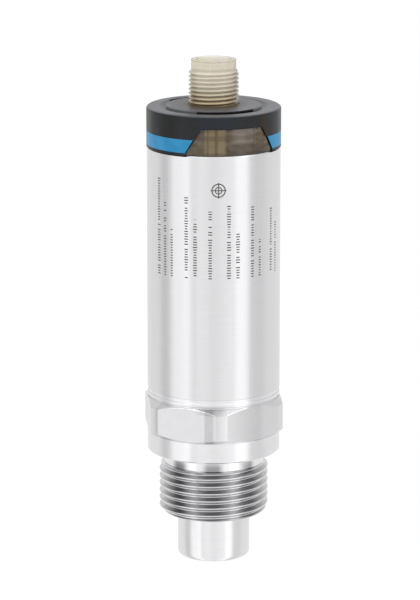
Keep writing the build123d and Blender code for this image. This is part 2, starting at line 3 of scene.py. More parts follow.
import bmesh
import bpy
import numpy as np
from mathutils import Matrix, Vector


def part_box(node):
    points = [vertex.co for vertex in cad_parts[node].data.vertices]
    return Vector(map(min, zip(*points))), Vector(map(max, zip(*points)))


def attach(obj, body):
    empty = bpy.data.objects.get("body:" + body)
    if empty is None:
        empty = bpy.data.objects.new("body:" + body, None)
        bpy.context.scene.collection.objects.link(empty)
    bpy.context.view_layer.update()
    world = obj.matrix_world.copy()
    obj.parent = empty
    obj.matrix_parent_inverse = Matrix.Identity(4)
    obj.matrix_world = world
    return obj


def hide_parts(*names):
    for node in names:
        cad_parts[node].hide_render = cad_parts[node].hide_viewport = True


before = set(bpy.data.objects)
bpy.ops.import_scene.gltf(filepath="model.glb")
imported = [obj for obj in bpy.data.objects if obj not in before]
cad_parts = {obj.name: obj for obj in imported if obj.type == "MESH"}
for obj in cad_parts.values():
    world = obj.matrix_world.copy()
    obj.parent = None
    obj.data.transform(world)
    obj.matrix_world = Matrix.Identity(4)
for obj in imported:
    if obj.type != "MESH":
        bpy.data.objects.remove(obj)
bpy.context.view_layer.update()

# Process connection. One bar of stainless steel, turned to the measuring sleeve, the pipe
# thread with its relief neck, the sealing collar and the weld shoulder, and milled to a
# hexagon for the spanner. Lengths are millimetres, and angles are degrees from the front.


def turned(name, section, directions):
    """Closed turned mesh from an outline of (radius, height) points. A radius or height may
    also be a function of the direction."""
    rings = []
    for radius, height in section:
        radius = radius(directions) if callable(radius) else radius
        height = height(directions) if callable(height) else height
        turn = np.radians(directions)
        ring = np.stack(
            np.broadcast_arrays(radius * np.sin(turn), -radius * np.cos(turn), height), -1
        )
        rings.append(ring / 1000)
    rows, columns = len(rings), len(directions)
    faces = []
    for row in range(rows):
        here, above = row * columns, (row + 1) % rows * columns
        for column in range(columns - 1):
            faces.append(
                (here + column, here + column + 1, above + column + 1, above + column)
            )
    return shell(name, np.concatenate(rings).tolist(), faces)


def shell(name, points, faces):
    """Object from points in metres, with double points joined and sharp edges kept crisp."""
    mesh = bpy.data.meshes.new(name)
    mesh.from_pydata(points, [], faces)
    work = bmesh.new()
    work.from_mesh(mesh)
    bmesh.ops.remove_doubles(work, verts=work.verts, dist=3e-6)
    bmesh.ops.recalc_face_normals(work, faces=work.faces)
    work.to_mesh(mesh)
    work.free()
    mesh.shade_smooth()
    mesh.set_sharp_from_angle(angle=radians(24))
    piece = bpy.data.objects.new(name, mesh)
    bpy.context.scene.collection.objects.link(piece)
    return piece


def eased(points, reach):
    """The same outline with its inner corners rounded off."""
    soft = [points[0]]
    for before, corner, after in zip(points, points[1:], points[2:]):
        before, corner, after = Vector(before), Vector(corner), Vector(after)
        back, on = before - corner, after - corner
        start = corner + back.normalized() * min(reach, back.length / 2)
        end = corner + on.normalized() * min(reach, on.length / 2)
        for part in (0, 0.25, 0.5, 0.75, 1):
            soft.append(tuple(start.lerp(corner, part).lerp(corner.lerp(end, part), part)))
    return soft + [points[-1]]


def thread_rows(foot, head, core, crest, start, pitch, form, limit):
    """Rows that follow a right-handed thread, one for each point of its form in each turn.
    Its crest passes the front at the start level."""
    rows = []
    phases, rises = zip(*form)

    def row(turn):
        def height(directions):
            return np.clip(start + pitch * (turn + directions / 360), foot, head)

        def radius(directions):
            level = height(directions)
            rise = np.interp(
                (level - start) / pitch - directions / 360, phases, rises, period=1
            )
            return np.minimum(core + (crest - core) * rise, limit(level))

        return radius, height

    for turn in range(-2, int((head - foot) / pitch) + 2):
        for phase in phases[:-1]:
            rows.append(row(turn + phase))
    return rows


class Value:
    """A value on a shader's socket that takes part in plain arithmetic."""

    def __init__(self, tree, socket):
        self.tree = tree
        self.socket = socket

    def output(self, name):
        return Value(self.tree, self.socket.node.outputs[name])

    def math(self, operation, *others):
        return self.tree.node(
            "ShaderNodeMath", {"operation": operation}, dict(enumerate((self, *others)))
        )

    def __add__(self, other):
        return self.math("ADD", other)

    def __sub__(self, other):
        return self.math("SUBTRACT", other)

    def __rsub__(self, other):
        return self.tree.node("ShaderNodeMath", {"operation": "SUBTRACT"}, {0: other, 1: self})

    def __mul__(self, other):
        return self.math("MULTIPLY", other)

    def __truediv__(self, other):
        return self.math("DIVIDE", other)

    __radd__ = __add__
    __rmul__ = __mul__

    def rise(self, low, high):
        """0 below one value, 1 above the other, and smooth between them."""
        return self.tree.node(
            "ShaderNodeMapRange",
            {"interpolation_type": "SMOOTHSTEP"},
            {"Value": self, "From Min": low, "From Max": high},
        )

    def within(self, low, high, soft):
        """1 between two values and 0 outside them, with soft ends."""
        return self.rise(low - soft, low + soft) * (1 - self.rise(high - soft, high + soft))

    def near(self, centre, reach, full):
        """1 within the full distance of a centre, 0 beyond the reach, and smooth between."""
        return (self - centre).math("ABSOLUTE").rise(reach, full)


class Shading:
    """The nodes of a material or of the world."""

    def __init__(self, owner):
        owner.use_nodes = True
        self.nodes = owner.node_tree.nodes
        self.links = owner.node_tree.links

    def node(self, kind, settings=None, sockets=None):
        """A new node: its settings first, then the values or links of its sockets."""
        made = self.nodes.new(kind)
        for name, setting in (settings or {}).items():
            if name == "stops":
                for stop, (position, level) in enumerate(setting):
                    if stop > 1:
                        made.color_ramp.elements.new(position)
                    made.color_ramp.elements[stop].position = position
                    made.color_ramp.elements[stop].color = (level, level, level, 1)
            else:
                setattr(made, name, setting)
        for name, value in (sockets or {}).items():
            self.plug(made.inputs[name], value)
        return Value(self, made.outputs[0]) if made.outputs else None

    def plug(self, socket, value):
        if isinstance(value, Value):
            self.links.new(value.socket, socket)
        else:
            socket.default_value = value

    def mix(self, share, first, second):
        """Colour between two colours."""
        blend = self.node("ShaderNodeMix", {"data_type": "RGBA"}, {0: share, 6: first, 7: second})
        return Value(self, blend.socket.node.outputs[2])


class Finish(Shading):
    """A material whose look is worked out from the place on the part."""

    def __init__(self, name, **constants):
        self.material = bpy.data.materials.new(name)
        super().__init__(self.material)
        self.surface = self.nodes["Principled BSDF"]
        for socket, value in constants.items():
            self.surface.inputs[socket.replace("_", " ")].default_value = value
        spot = self.node("ShaderNodeTexCoord").output("Object")
        self.place = self.node(
            "ShaderNodeVectorMath", {"operation": "SCALE"}, {0: spot, "Scale": 1000.0}
        )
        axes = self.node("ShaderNodeSeparateXYZ", None, {0: self.place})
        self.x, self.y, self.z = (axes.output(axis) for axis in "XYZ")
        self.angle = self.x.math("ARCTAN2", self.y * -1.0) * degrees(1)
        self.radius = (self.x * self.x + self.y * self.y).math("SQRT")

    def grain(self, size, stretch=(1, 1, 1), detail=2.0):
        """Noise from 0 to 1 with grains of a size, drawn out along the axes by a stretch."""
        drawn = self.node(
            "ShaderNodeVectorMath",
            {"operation": "MULTIPLY"},
            {0: self.place, 1: tuple(1 / (size * part) for part in stretch)},
        )
        return self.node(
            "ShaderNodeTexNoise", None, {"Vector": drawn, "Scale": 1.0, "Detail": detail}
        )

    def rings(self, size):
        """Noise that stays the same all the way round, as a turning tool leaves it."""
        spot = self.node(
            "ShaderNodeCombineXYZ", None, {"X": self.radius / size, "Z": self.z / size}
        )
        return self.node("ShaderNodeTexNoise", None, {"Vector": spot, "Scale": 1.0, "Detail": 2.0})

    def around(self, stops):
        """Value that changes round the part, from pairs of an angle and a value."""
        return self.node(
            "ShaderNodeValToRGB",
            {"stops": [(angle / 360 + 0.5, value) for angle, value in stops]},
            {0: self.angle / 360 + 0.5},
        )

    def coat(self, **sockets):
        """Links the surface's inputs. Relief is a height in millimetres."""
        relief = sockets.pop("Relief", None)
        if relief is not None:
            sockets["Normal"] = self.node(
                "ShaderNodeBump", None, {"Height": relief, "Distance": 0.001}
            )
        for socket, value in sockets.items():
            self.plug(self.surface.inputs[socket.replace("_", " ")], value)


def tone(red, green, blue):
    """Linear colour from the 0 to 255 numbers of a picture."""
    return tuple(
        (c / 255 / 12.92) if c < 11 else ((c / 255 + 0.055) / 1.055) ** 2.4
        for c in (red, green, blue)
    ) + (1.0,)


sleeve_radius, sleeve_length, front_bore = 8.7, 11.3, 6.4
wall_low, wall_high, nose_round = 5, 8, 1.2
thread_crest, thread_core, thread_pitch, thread_start = 13.2205, 12.0585, 1.814, 12.98
thread_foot, thread_head, collar_foot = sleeve_length, 23.8, 26.8
thread_end, foot_slope, head_slope = 12, 1.05, 1.3
seat_round, neck_round = 0.35, 0.4
hex_foot, hex_head, hex_flat, hex_corner = 31.8, 40.2, 16.0, 17.7
hex_turn, hex_slope, collar_edge = 6.0, tan(radians(30)), 0.3
hex_step, hex_lip, hex_ease = 0.14, 0.1, 0.06
shoulder_radius, shoulder_edge, undercut_radius, undercut_height = 16.0, 0.1, 15.65, 0.4
weld_radius, weld_width = 15.825, 0.8
spigot_radius, spigot_bore, spigot_floor = 14.73, 11.5, 29
clamp_bore, clamp_floor, seat_bore, seat_floor = 9, 14, 7.65, 9
tube_low, tube_high = (corner.z * 1000 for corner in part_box("housing_tube"))
tube_radius, tube_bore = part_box("housing_tube")[1].x * 1000, 14.75
spigot_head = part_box("process_connection")[1].z * 1000


def hex_radius(directions):
    """Outline of the hexagon with its turned corners."""
    flat = np.mod(directions - hex_turn, 60) - 30
    return np.minimum(hex_flat / np.cos(np.radians(flat)), hex_corner)


def hex_eased(directions):
    """Outline of the hexagon where its edge is broken."""
    return hex_radius(directions) - hex_ease


def chamfer(level, way):
    """Height of a turned chamfer that leaves a level towards the hexagon's corners."""
    return lambda directions: level + way * (hex_radius(directions) - hex_flat) * hex_slope


pipe_form = [
    (0, 1), (0.04, 0.99), (0.08, 0.96), (0.115, 0.89), (0.2, 0.64), (0.3, 0.34), (0.385, 0.1),
    (0.43, 0.03), (0.5, 0), (0.57, 0.03), (0.615, 0.1), (0.7, 0.34), (0.8, 0.64), (0.885, 0.89),
    (0.92, 0.96), (0.96, 0.99), (1, 1),
]
land = degrees(acos(hex_flat / hex_corner))
corners = [hex_turn + 60 * side for side in range(-3, 3)]
steel_directions = np.unique(
    np.round(
        np.concatenate(
            [np.arange(-180, 181, 1.5)]
            + [[corner - 30 + land, corner, corner + 30 - land] for corner in corners]
        ),
        4,
    )
)
steel_outline = (
    eased([(front_bore, 0), (sleeve_radius, 0), (sleeve_radius, wall_low)], nose_round)
    + eased(
        [(sleeve_radius, wall_high), (sleeve_radius, sleeve_length), (thread_end, sleeve_length)],
        seat_round,
    )
    + thread_rows(
        thread_foot, thread_head, thread_core, thread_crest, thread_start, thread_pitch,
        pipe_form,
        lambda level: np.minimum(
            thread_core + (level - thread_foot) * foot_slope,
            thread_core + (thread_head - level) * head_slope,
        ),
    )
    + eased(
        [
            (thread_core, thread_head),
            (thread_core, collar_foot),
            (hex_flat - collar_edge, collar_foot),
        ],
        neck_round,
    )
    + [
        (hex_flat, collar_foot + collar_edge),
        (hex_flat, hex_foot - 0.12),
        (hex_flat - hex_step, hex_foot),
        (hex_flat - hex_step, hex_foot + hex_lip),
        (hex_eased, chamfer(hex_foot + hex_lip, 1)),
        (hex_radius, chamfer(hex_foot + hex_lip + 0.08, 1)),
        (hex_radius, chamfer(hex_head - 0.1, -1)),
        (hex_eased, chamfer(hex_head, -1)),
        (hex_flat, hex_head),
        (undercut_radius, hex_head),
        (undercut_radius, hex_head + undercut_height),
        (shoulder_radius - shoulder_edge, hex_head + undercut_height + 0.02),
        (shoulder_radius, hex_head + undercut_height + 0.15),
        (shoulder_radius, tube_low - weld_width - shoulder_edge),
        (shoulder_radius - shoulder_edge, tube_low - weld_width),
        (weld_radius, tube_low - weld_width),
        (weld_radius, tube_low),
        (spigot_radius, tube_low),
        (spigot_radius, spigot_head),
        (spigot_bore, spigot_head),
        (spigot_bore, spigot_floor),
        (clamp_bore, spigot_floor),
        (clamp_bore, clamp_floor),
        (seat_bore, clamp_floor),
        (seat_bore, seat_floor),
        (front_bore, seat_floor),
    ]
)
process_connection = turned("process_connection_steel", steel_outline, steel_directions)

turned_steel = Finish("turned_steel", Metallic=1.0)
tool_marks = turned_steel.rings(0.22)
wide_marks = turned_steel.rings(1.6)
cloud = turned_steel.grain(3.0)
on_hexagon = turned_steel.z.within(hex_foot, hex_head, 0.05)
on_thread = turned_steel.z.within(thread_foot, thread_head, 0.1)
thread_phase = ((turned_steel.z - thread_start) / thread_pitch - turned_steel.angle / 360).math(
    "FRACT"
)
# Painted reflections: light and dark zones by angle round the turned steel, the studio that it
# mirrors, painted into the colour by this ramp.
painted_reflection_shade = turned_steel.around(
    [
        (-180, 0.2), (-158, 0.1), (-135, 0.8), (-112, 0.2), (-90, 0.3), (-75, 0.15), (-62, 0.45),
        (-46, 1.0), (-38, 1.0), (-26, 0.5), (-18, 0.55), (-7, 0.95), (5, 0.95), (13, 0.65),
        (22, 0.38), (30, 0.5), (38, 0.8), (47, 0.92), (58, 0.55), (72, 0.2), (90, 0.1),
        (112, 0.7), (135, 0.2), (158, 0.8), (180, 0.2),
    ]
)
# Painted reflections on the hexagon: its faces lighter and darker by angle, with a darker strip
# just left of the front, painted into the colour.
hex_painted_reflections = turned_steel.around(
    [
        (-180, 0.2), (-114, 0.3), (-90, 0.12), (-54, 0.16), (-51, 0.28), (-8, 0.28), (-6.9, 0.46),
        (-0.6, 0.46), (0.6, 0.26), (11, 0.04), (22, 0.14), (35, 0.26), (42, 0.3), (48, 0.2),
        (62, 0.17), (120, 0.14), (180, 0.2),
    ]
)
# Painted shade on the thread's flanks and crests, deepest where the painted reflections are dark.
upper_flank = thread_phase.within(0.07, 0.43, 0.03)
lower_flank = thread_phase.within(0.57, 0.93, 0.03)
flank_shade = upper_flank * (painted_reflection_shade * 0.46 + 0.12) + lower_flank * (painted_reflection_shade * 0.3 + 0.04)
shade = 0.12 + (painted_reflection_shade * 0.12 + flank_shade) * on_thread
# Painted shade in the neck, strongest at its lower end where the painted reflections are dark, a
# little lighter elsewhere.
on_neck = turned_steel.z.within(thread_head - 0.3, collar_foot - 0.1, 0.1)
neck_depth = turned_steel.z.rise(collar_foot - 0.2, thread_head + 0.6) * 0.55 + 0.12
shade = shade + on_neck * (painted_reflection_shade.rise(0.6, 1.05) * neck_depth - 0.06)
shade = shade * (1 - on_hexagon) + hex_painted_reflections * on_hexagon
# Painted reflection: a darker band over the weld shoulder near the front.
painted_weld_reflection = turned_steel.z.within(hex_head - 1.2, tube_low - 1.3, 0.3)
painted_weld_reflection = painted_weld_reflection * turned_steel.angle.within(-14.0, 10.0, 5.0)
shade = shade + painted_weld_reflection * 0.14
bright = turned_steel.mix(tool_marks, tone(243, 243, 245), tone(252, 252, 253))
bright = turned_steel.mix(shade + cloud * 0.06, bright, tone(74, 74, 77))
turned_steel.coat(
    Base_Color=bright,
    Roughness=0.15 + wide_marks * 0.08 + on_hexagon * 0.06 + cloud * 0.04 - on_thread * 0.09,
    Relief=tool_marks * 0.0016 * (1 - on_hexagon) + cloud * 0.0025 * on_hexagon,
)
process_connection.data.materials.append(turned_steel.material)
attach(process_connection, "root")
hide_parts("process_connection")

# Electrodes in the measuring face. A probe pin and a guard ring of the same steel, faced off
# level with the sleeve on a lathe, so that fine rings run round the middle. The nut that
# holds them is turned too.


def dress(finish, *nodes):
    """Gives CAD nodes a finish."""
    for node in nodes:
        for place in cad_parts[node].material_slots:
            place.material = finish.material


faced_steel = Finish("faced_steel", Metallic=1.0)
facing = faced_steel.rings(0.12)
faced_steel.coat(
    Base_Color=faced_steel.mix(facing, tone(206, 206, 209), tone(230, 230, 231)),
    Roughness=0.2 + facing * 0.16,
    Relief=facing * 0.003,
)
dress(faced_steel, "probe_electrode", "guard_ring", "electrode_nut")

# Insulators of the electrodes. Machined bushes of a hard beige plastic, faced off with the
# steel, and the washer that loads them.

beige_plastic = Finish("beige_plastic")
cut = beige_plastic.rings(0.15)
fleck = beige_plastic.grain(0.6)
beige_plastic.coat(
    Base_Color=beige_plastic.mix(
        fleck.rise(0.3, 0.7) * 0.6 + cut * 0.4, tone(186, 168, 134), tone(203, 187, 155)
    ),
    Roughness=0.42 + cut * 0.14,
    Relief=cut * 0.004,
)
dress(beige_plastic, "inner_insulator", "outer_insulator", "pressure_ring")

# Seals. Moulded rings of black rubber, one pressed behind the measuring face and one in
# the groove of the connector body's skirt.

seal_rubber = Finish("seal_rubber")
dust = seal_rubber.grain(0.5, detail=4.0)
seal_rubber.coat(
    Base_Color=seal_rubber.mix(dust, tone(24, 24, 25), tone(46, 46, 47)),
    Roughness=0.55 + dust * 0.2,
    Relief=dust * 0.006,
)
dress(seal_rubber, "insulator_seal", "housing_seal")

# Clamping parts behind the electrodes. A pressed cup spring and a turned bush with slots
# for a pin spanner.

plain_steel = Finish("plain_steel", Metallic=1.0)
scale_marks = plain_steel.grain(0.7, (1, 1, 0.4))
plain_steel.coat(
    Base_Color=plain_steel.mix(scale_marks, tone(168, 167, 166), tone(204, 204, 205)),
    Roughness=0.3 + scale_marks * 0.15,
    Relief=scale_marks * 0.004,
)
dress(plain_steel, "clamp_bush", "cup_spring")

# Housing tube. Seamless stainless tube with a satin ground wall, welded to the process
# connection at its foot. Fine dark marks are burnt in with a laser: a target that shows the
# switching direction, and rows of short gauge ticks.

tube_edge, weld_edge = 0.25, 0.1
tube_outline = [
    (tube_bore, tube_low),
    (tube_radius - weld_edge, tube_low),
    (tube_radius, tube_low + weld_edge),
    (tube_radius, tube_high - tube_edge),
    (tube_radius - tube_edge, tube_high),
    (tube_bore, tube_high),
]
housing_tube = turned("housing_tube_steel", tube_outline, np.arange(-180, 181, 1.5))

ground_steel = Finish("ground_steel", Metallic=1.0)
streaks = ground_steel.grain(0.35, (12, 12, 1))
long_streaks = ground_steel.grain(0.8, (1, 1, 30), 1.0)
handling = ground_steel.grain(6.0, detail=3.0)
target_angle, target_level = 4.1, 93.5
across = (ground_steel.angle - target_angle) * radians(1) * tube_radius
along = ground_steel.z - target_level
reach = (across * across + along * along).math("SQRT")
target_rings, hair_width, hair_reach = [(1.42, 1.7), (0.66, 0.9)], (0.16, 0.08), (1.95, 1.85)
hair_across = across.math("ABSOLUTE").rise(*hair_width)
hair_along = along.math("ABSOLUTE").rise(*hair_width)
marks = hair_across.math("MAXIMUM", hair_along) * reach.rise(*hair_reach)
for inside, outside in target_rings:
    marks = marks.math("MAXIMUM", reach.within(inside, outside, 0.05))
tick_rows = [
    (-54, 95.5, 0.62), (-46, 90.0, 0.5), (-38.5, 84.0, 0.4), (-24, 92.0, 0.55),
    (-16, 86.5, 0.55), (-3, 88.5, 0.5), (13, 90.0, 0.55), (21, 83.0, 0.55),
    (35, 89.5, 0.5), (43, 81.0, 0.4), (58, 88.0, 0.5), (66, 84.5, 0.5),
]
tick_foot, tick_spacing = 72.0, 0.62
count = (ground_steel.z - tick_foot) / tick_spacing
for number, (row_angle, row_head, half_width) in enumerate(tick_rows):
    side = ((ground_steel.angle - row_angle) * radians(1) * tube_radius).math("ABSOLUTE")
    chance = ground_steel.node(
        "ShaderNodeTexWhiteNoise",
        {"noise_dimensions": "1D"},
        {"W": count.math("FLOOR") + 40.0 * number},
    )
    length = half_width * (0.55 + 0.45 * chance)
    tick = count.math("FRACT").near(0.5, 0.26, 0.16)
    tick = tick * (length - side).rise(-0.04, 0.04) * chance.rise(0.1, 0.12)
    tick = tick * ground_steel.z.within(tick_foot, row_head, 0.02)
    marks = marks.math("MAXIMUM", tick)
wall = ground_steel.mix(streaks, tone(222, 222, 224), tone(231, 231, 232))
wall = ground_steel.mix(long_streaks * 0.3, wall, tone(212, 212, 214))
ground_steel.coat(
    Base_Color=ground_steel.mix(marks * 0.92, wall, tone(44, 44, 46)),
    Roughness=0.16 + streaks * 0.06 + handling * 0.05 + marks * 0.3,
    Metallic=1 - marks * 0.7,
    Relief=streaks * 0.0012,
)
housing_tube.data.materials.append(ground_steel.material)
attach(housing_tube, "root")
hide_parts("housing_tube")

# Board carrier, link header and contact insert. Moulded of a dark glass-filled plastic. The
# carrier holds the main board, and the insert holds the plug's contacts.

dark_plastic = Finish("dark_plastic")
fibre = dark_plastic.grain(0.25, (1, 1, 4), 3.0)
dark_plastic.coat(
    Base_Color=dark_plastic.mix(fibre, tone(26, 26, 28), tone(44, 44, 46)),
    Roughness=0.42 + fibre * 0.2,
    Relief=fibre * 0.006,
)
dress(dark_plastic, "board_carrier", "link_header", "contact_carrier")

# Circuit boards. The upright main board and the round board of the lamps, both of green
# laminate with a faint weave under the lacquer.

laminate = Finish("laminate", Coat_Weight=0.5, Coat_Roughness=0.15)
weave = laminate.grain(0.4, (6, 6, 1)) * 0.5 + laminate.grain(0.4, (1, 1, 6)) * 0.5
laminate.coat(
    Base_Color=laminate.mix(weave.rise(0.35, 0.65), tone(16, 74, 46), tone(34, 104, 66)),
    Roughness=0.4 + weave * 0.1,
    Relief=weave * 0.008,
)
dress(laminate, "main_board", "led_board")

# Electronic parts. Bodies moulded of black resin, a pressed ferrite coil and two aluminium
# cans, all soldered to the main board.

resin = Finish("resin")
speck = resin.grain(0.12, detail=3.0)
resin.coat(
    Base_Color=resin.mix(speck, tone(22, 22, 24), tone(50, 50, 52)),
    Roughness=0.5 + speck * 0.2,
    Relief=speck * 0.008,
)
dress(resin, "controller_chip", "output_transistors")
ferrite = Finish("ferrite")
pores = ferrite.grain(0.2, detail=3.0)
ferrite.coat(
    Base_Color=ferrite.mix(pores, tone(44, 42, 41), tone(74, 71, 69)),
    Roughness=0.55 + pores * 0.2,
    Relief=pores * 0.01,
)
dress(ferrite, "power_inductor")
can_metal = Finish("can_metal", Metallic=1.0)
drawn = can_metal.grain(0.3, (1, 8, 1))
can_metal.coat(
    Base_Color=can_metal.mix(drawn, tone(182, 184, 187), tone(208, 209, 211)),
    Roughness=0.28 + drawn * 0.12,
    Relief=drawn * 0.003,
)
dress(can_metal, "storage_capacitors")

# Springs, pins and wires. A bright steel strip to the tube, gold-plated contacts and
# tinned copper wires.

spring_strip = Finish("spring_strip", Metallic=1.0)
rolled = spring_strip.grain(0.2, (1, 6, 6))
spring_strip.coat(
    Base_Color=spring_strip.mix(rolled, tone(192, 190, 184), tone(216, 214, 209)),
    Roughness=0.22 + rolled * 0.12,
    Relief=rolled * 0.002,
)
dress(spring_strip, "ground_spring")
gold_plate = Finish("gold_plate", Metallic=1.0)
draw_marks = gold_plate.grain(0.15, (1, 1, 8))
gold_plate.coat(
    Base_Color=gold_plate.mix(draw_marks, tone(214, 172, 92), tone(236, 200, 124)),
    Roughness=0.2 + draw_marks * 0.12,
    Relief=draw_marks * 0.002,
)
dress(gold_plate, "contact_pins", "link_pins")
tinned_wire = Finish("tinned_wire", Metallic=1.0)
dull_spots = tinned_wire.grain(0.5)
tinned_wire.coat(
    Base_Color=tinned_wire.mix(dull_spots, tone(190, 132, 96), tone(212, 158, 120)),
    Roughness=0.3 + dull_spots * 0.2,
    Relief=dull_spots * 0.004,
)
dress(tinned_wire, "sensor_wires")

# Indicator lamps. Lenses cast of tinted resin, a pair of each colour, on the round board
# behind the windows.

for lamp, low, high in (
    ("green_leds", (40, 150, 70), (90, 196, 112)),
    ("yellow_leds", (214, 168, 36), (240, 204, 90)),
    ("red_leds", (176, 34, 30), (216, 74, 62)),
):
    lens = Finish(lamp + "_lens", Roughness=0.18)
    haze = lens.grain(0.4)
    lens.coat(Base_Color=lens.mix(haze, tone(*low), tone(*high)), Relief=haze * 0.003)
    dress(lens, lamp)

# Connector body. One moulding of clear amber plastic: the plug with its round thread, the
# drum under the cap and the two window pads. It is pale where the wall is thin and free,
# and brown where it lies over the dark parts inside. Its colour also carries painted light:
# painted shade in the plug's grooves, on its sides and at its foot, painted shade, painted
# light and a painted glow in the socket, and a painted view of the parts inside on the pads.

body_low, body_high = (corner.z * 1000 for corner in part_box("connector_body"))
disc_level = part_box("cap")[1].z * 1000
plug_core, plug_crest, plug_pitch, plug_start, plug_foot = 5.36, 6.0, 1.0, 111.4, 6.25
sleeve_foot, foot_level, drum_head = body_high - 2.3, disc_level - 0.1, 109.6
plug_wall, head_taper, run_out_start, run_out_slope = 5.35, 1.1, foot_level + 0.35, 1.6
socket_radius, socket_floor = 4.65, body_high - 8.5
drum_radius, slot_inside, slot_outside, slot_floor = 14.9, 11.7, 13.4, drum_head - 4
skirt_bore, seal_radius, seal_low, seal_high = 12.78, 13.38, body_low + 2.6, body_low + 4.6
recess_radius, recess_foot, deck_foot = 10.7, drum_head - 5.2, drum_head - 3
window_turn, window_height, pad_radius, pad_gap = 17.3, 6.5, 15.7, 0.15
pad_inside, foot_half, head_half = 14.3, 11.0, 7.45
plug_form = [
    (0, 1), (0.06, 0.98), (0.12, 0.88), (0.25, 0.52), (0.38, 0.14), (0.44, 0.03), (0.5, 0),
    (0.56, 0.03), (0.62, 0.14), (0.75, 0.52), (0.88, 0.88), (0.94, 0.98), (1, 1),
]
body_outline = (
    eased(
        [(socket_radius, body_high - 3), (socket_radius, body_high), (plug_wall, body_high)], 0.12
    )
    + eased(
        [(plug_wall - 0.15, body_high), (plug_wall, body_high), (plug_wall, sleeve_foot)], 0.15
    )[1:]
    + thread_rows(
        foot_level, sleeve_foot, plug_core, plug_crest, plug_start, plug_pitch, plug_form,
        lambda level: np.minimum(
            plug_wall + (sleeve_foot - level) * head_taper,
            plug_core + np.maximum(level - run_out_start, 0) * run_out_slope,
        ),
    )[::-1]
    + [
        (plug_foot, foot_level),
        (plug_foot, drum_head),
        (slot_inside, drum_head),
        (slot_inside, slot_floor),
        (slot_outside, slot_floor),
        (slot_outside, drum_head),
        (drum_radius, drum_head),
        (drum_radius, tube_high),
        (spigot_radius, tube_high),
        (spigot_radius, seal_high),
        (seal_radius, seal_high),
        (seal_radius, seal_low),
        (spigot_radius, seal_low),
        (spigot_radius, body_low),
        (skirt_bore, body_low),
        (skirt_bore, recess_foot),
        (recess_radius, recess_foot),
        (recess_radius, deck_foot),
        (socket_radius, deck_foot),
    ]
)
connector_body = turned("connector_body_amber", body_outline, np.arange(-180, 181, 2.5))

pad_points, pad_faces = [], []
across_steps, up_steps = 24, 6
for turn in (window_turn, window_turn + 180):
    base = len(pad_points)
    for depth in (pad_radius, pad_inside):
        for up in range(up_steps + 1):
            level = pad_gap + (window_height - 2 * pad_gap) * up / up_steps
            half = foot_half - (foot_half - head_half) * level / window_height - pad_gap
            for step in range(across_steps + 1):
                out = half * (2 * step / across_steps - 1)
                angle = radians(turn) + asin(out / depth)
                pad_points.append(
                    Vector((sin(angle) * depth, -cos(angle) * depth, tube_high + level)) / 1000
                )
    wide, layer = across_steps + 1, (across_steps + 1) * (up_steps + 1)
    edge = (
        [step for step in range(wide)]
        + [up * wide + wide - 1 for up in range(1, up_steps + 1)]
        + [up_steps * wide + step for step in range(wide - 2, -1, -1)]
        + [up * wide for up in range(up_steps - 1, 0, -1)]
    )
    for up in range(up_steps):
        for step in range(across_steps):
            corner = base + up * wide + step
            quad = (corner, corner + 1, corner + wide + 1, corner + wide)
            pad_faces.append(quad)
            pad_faces.append(tuple(point + layer for point in quad[::-1]))
    for here, there in zip(edge, edge[1:] + edge[:1]):
        pad_faces.append((base + here, base + there, base + there + layer, base + here + layer))
window_pads = shell("window_pads", pad_points, pad_faces)
key_out, key_root = socket_radius - 0.75, socket_radius + 0.2
key_half, key_top = 0.65, body_high - 0.8
key_points = []
for out in (key_out, key_root):
    for side in (-key_half, key_half):
        for level in (socket_floor, key_top):
            turn = radians(window_turn)
            key_points.append(
                Vector(
                    (
                        sin(turn) * out + cos(turn) * side,
                        -cos(turn) * out + sin(turn) * side,
                        level,
                    )
                )
                / 1000
            )
coding_key = shell(
    "coding_key",
    key_points,
    [(0, 1, 3, 2), (4, 6, 7, 5), (0, 4, 5, 1), (2, 3, 7, 6), (1, 5, 7, 3), (0, 2, 6, 4)],
)
with bpy.context.temp_override(
    active_object=connector_body,
    selected_editable_objects=[connector_body, window_pads, coding_key],
):
    bpy.ops.object.join()

# Only the socket's bore glows through the emission: painted light.
amber = Finish(
    "amber",
    Emission_Strength=0.07,
    Subsurface_Weight=0.6,
    Subsurface_Radius=(1.0, 0.85, 0.6),
    Subsurface_Scale=0.0012,
)
height_share = amber.z.rise(body_high - 10.8, body_high - 4.8)
plug_phase = ((amber.z - plug_start) / plug_pitch - amber.angle / 360).math("FRACT")
on_plug_thread = amber.z.within(foot_level - 0.05, sleeve_foot - 0.05, 0.15)
in_groove = plug_phase.within(0.3, 0.74, 0.1) * on_plug_thread
swirl = amber.grain(2.2, (1, 1, 1.6), 3.0)
wall_tone = amber.mix(height_share, tone(222, 202, 166), tone(234, 228, 212))
# Painted shade in the plug's grooves, deep brown low down and fading out towards the top.
painted_groove_shade = amber.mix(height_share, tone(104, 84, 50), tone(234, 226, 213))
plug_tone = amber.mix(in_groove, wall_tone, painted_groove_shade)
# Painted shade: brown bands by angle round the plug, strongest low down and in the grooves.
for plug_shade_angle, plug_shade_width, fading, depth in (
    (-65.0, 40.0, 1.0, 0.72), (43.0, 20.0, 0.95, 0.45), (80.0, 24.0, 0.5, 0.85),
):
    floor_glow_and_plug_shade = amber.angle.near(plug_shade_angle, plug_shade_width, plug_shade_width * 0.2)
    floor_glow_and_plug_shade = floor_glow_and_plug_shade * (1 - height_share * fading) * (0.6 + 0.4 * in_groove) * depth
    plug_tone = amber.mix(floor_glow_and_plug_shade, plug_tone, tone(104, 76, 32))
